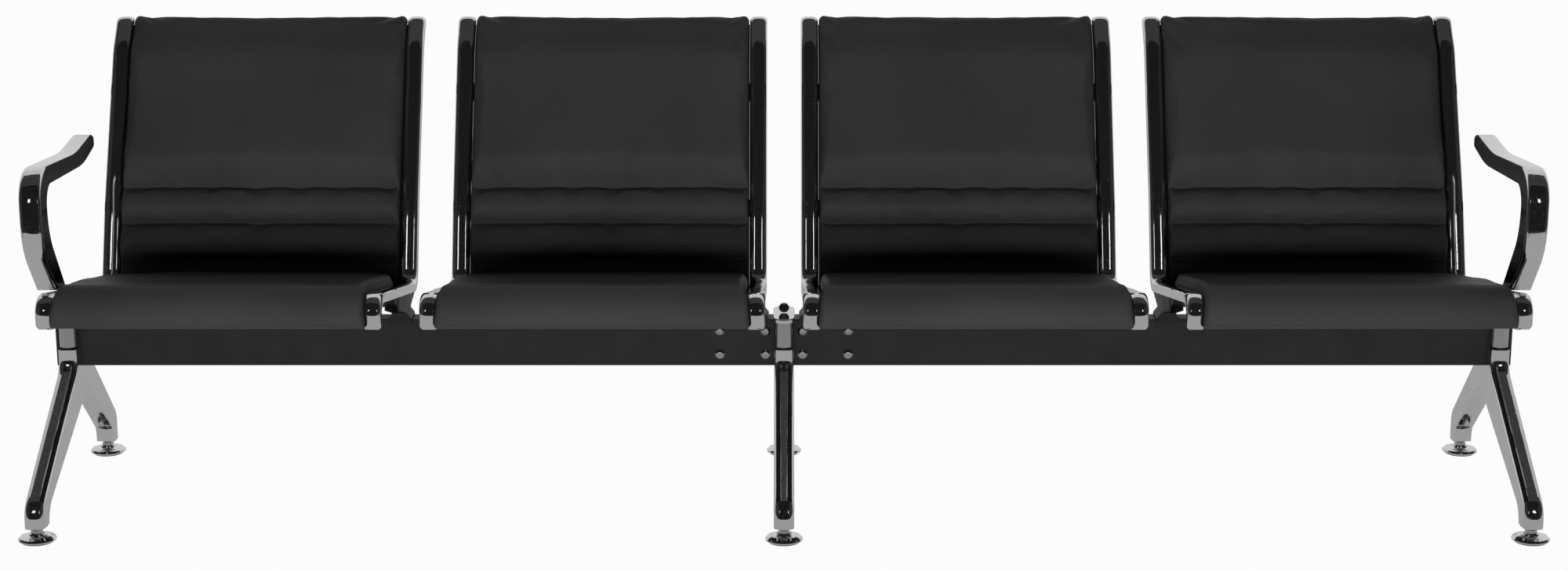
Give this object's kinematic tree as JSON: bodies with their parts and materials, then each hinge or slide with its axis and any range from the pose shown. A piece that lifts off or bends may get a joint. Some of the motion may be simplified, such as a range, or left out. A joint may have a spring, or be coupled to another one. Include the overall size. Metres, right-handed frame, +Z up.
{
  "type": "beam seating",
  "caption": "Waiting-area beam seating: padded black seats on bent chrome side frames in a row on one box beam, with end arms, inverted-Y legs and levelling feet.",
  "frame": {"origin": "on the floor, in the middle of the whole part's bounding box", "axes": "+X along the row towards the right-hand seat as seen from the front, +Y to the rear, +Z up"},
  "size_m": [2.46, 0.6832, 0.7643],
  "materials": {
    "beam_paint": "black satin powder coat",
    "splice_steel": "bare steel",
    "bright_bolt": "zinc plated",
    "cap_plastic": "black moulded",
    "chrome": "polished",
    "satin_steel": "satin turned",
    "black_bolt": "black oxide",
    "foot_rubber": "black",
    "stud_steel": "bright zinc",
    "shell_paint": "black powder coat",
    "cover": "black coated upholstery, soft sheen"
  },
  "bodies": {
    "frame": {"beam_left": "beam_paint", "beam_right": "beam_paint", "beam_splice": "splice_steel", "splice_bolts": "bright_bolt", "beam_end_caps": "cap_plastic", "leg_left": "chrome", "leg_middle": "chrome", "leg_right": "chrome", "clamp_caps": "chrome", "clamp_columns": "satin_steel", "clamp_bolts": "black_bolt", "seat_1_side_frame_left": "chrome", "seat_1_side_frame_right": "chrome", "seat_1_shell": "shell_paint", "seat_1_cross_rails": "shell_paint", "seat_1_seat_pad": "cover", "seat_1_back_pad": "cover", "seat_2_side_frame_left": "chrome", "seat_2_side_frame_right": "chrome", "seat_2_shell": "shell_paint", "seat_2_cross_rails": "shell_paint", "seat_2_seat_pad": "cover", "seat_2_back_pad": "cover", "seat_3_side_frame_left": "chrome", "seat_3_side_frame_right": "chrome", "seat_3_shell": "shell_paint", "seat_3_cross_rails": "shell_paint", "seat_3_seat_pad": "cover", "seat_3_back_pad": "cover", "seat_4_side_frame_left": "chrome", "seat_4_side_frame_right": "chrome", "seat_4_shell": "shell_paint", "seat_4_cross_rails": "shell_paint", "seat_4_seat_pad": "cover", "seat_4_back_pad": "cover", "frame_brackets": "shell_paint", "bracket_bolts": "black_bolt", "frame_screws": "black_bolt", "pad_screws": "black_bolt", "arm_left": "chrome", "arm_right": "chrome", "arm_screws": "black_bolt"},
    "glide_left_front": {"foot_rubber_left_front": "foot_rubber", "foot_disc_left_front": "chrome"},
    "stud_left_front": {"foot_stud_left_front": "stud_steel"},
    "glide_left_rear": {"foot_rubber_left_rear": "foot_rubber", "foot_disc_left_rear": "chrome"},
    "stud_left_rear": {"foot_stud_left_rear": "stud_steel"},
    "glide_middle_front": {"foot_rubber_middle_front": "foot_rubber", "foot_disc_middle_front": "chrome"},
    "stud_middle_front": {"foot_stud_middle_front": "stud_steel"},
    "glide_middle_rear": {"foot_rubber_middle_rear": "foot_rubber", "foot_disc_middle_rear": "chrome"},
    "stud_middle_rear": {"foot_stud_middle_rear": "stud_steel"},
    "glide_right_front": {"foot_rubber_right_front": "foot_rubber", "foot_disc_right_front": "chrome"},
    "stud_right_front": {"foot_stud_right_front": "stud_steel"},
    "glide_right_rear": {"foot_rubber_right_rear": "foot_rubber", "foot_disc_right_rear": "chrome"},
    "stud_right_rear": {"foot_stud_right_rear": "stud_steel"}
  },
  "joints": [
    {"name": "glide_left_front_height", "type": "slide", "parent": "frame", "child": "glide_left_front", "axis": [0, 0, -1], "range_m": [-0.004, 0.012]},
    {"name": "stud_left_front_turn", "type": "hinge", "parent": "glide_left_front", "child": "stud_left_front", "pos_m": [-1.2, -0.28154, 0.025], "axis": [0, 0, -1], "range_deg": [-825, 2472]},
    {"name": "glide_left_rear_height", "type": "slide", "parent": "frame", "child": "glide_left_rear", "axis": [0, 0, -1], "range_m": [-0.004, 0.012]},
    {"name": "stud_left_rear_turn", "type": "hinge", "parent": "glide_left_rear", "child": "stud_left_rear", "pos_m": [-1.2, 0.20946, 0.025], "axis": [0, 0, -1], "range_deg": [-825, 2472]},
    {"name": "glide_middle_front_height", "type": "slide", "parent": "frame", "child": "glide_middle_front", "axis": [0, 0, -1], "range_m": [-0.004, 0.012]},
    {"name": "stud_middle_front_turn", "type": "hinge", "parent": "glide_middle_front", "child": "stud_middle_front", "pos_m": [0, -0.28154, 0.025], "axis": [0, 0, -1], "range_deg": [-825, 2472]},
    {"name": "glide_middle_rear_height", "type": "slide", "parent": "frame", "child": "glide_middle_rear", "axis": [0, 0, -1], "range_m": [-0.004, 0.012]},
    {"name": "stud_middle_rear_turn", "type": "hinge", "parent": "glide_middle_rear", "child": "stud_middle_rear", "pos_m": [0, 0.20946, 0.025], "axis": [0, 0, -1], "range_deg": [-825, 2472]},
    {"name": "glide_right_front_height", "type": "slide", "parent": "frame", "child": "glide_right_front", "axis": [0, 0, -1], "range_m": [-0.004, 0.012]},
    {"name": "stud_right_front_turn", "type": "hinge", "parent": "glide_right_front", "child": "stud_right_front", "pos_m": [1.2, -0.28154, 0.025], "axis": [0, 0, -1], "range_deg": [-825, 2472]},
    {"name": "glide_right_rear_height", "type": "slide", "parent": "frame", "child": "glide_right_rear", "axis": [0, 0, -1], "range_m": [-0.004, 0.012]},
    {"name": "stud_right_rear_turn", "type": "hinge", "parent": "glide_right_rear", "child": "stud_right_rear", "pos_m": [1.2, 0.20946, 0.025], "axis": [0, 0, -1], "range_deg": [-825, 2472]}
  ],
  "couplings": [
    {"joint": "stud_left_front_turn", "follows": "glide_left_front_height", "rad_per_m": 3590.4},
    {"joint": "stud_left_rear_turn", "follows": "glide_left_rear_height", "rad_per_m": 3590.4},
    {"joint": "stud_middle_front_turn", "follows": "glide_middle_front_height", "rad_per_m": 3590.4},
    {"joint": "stud_middle_rear_turn", "follows": "glide_middle_rear_height", "rad_per_m": 3590.4},
    {"joint": "stud_right_front_turn", "follows": "glide_right_front_height", "rad_per_m": 3590.4},
    {"joint": "stud_right_rear_turn", "follows": "glide_right_rear_height", "rad_per_m": 3590.4}
  ]
}
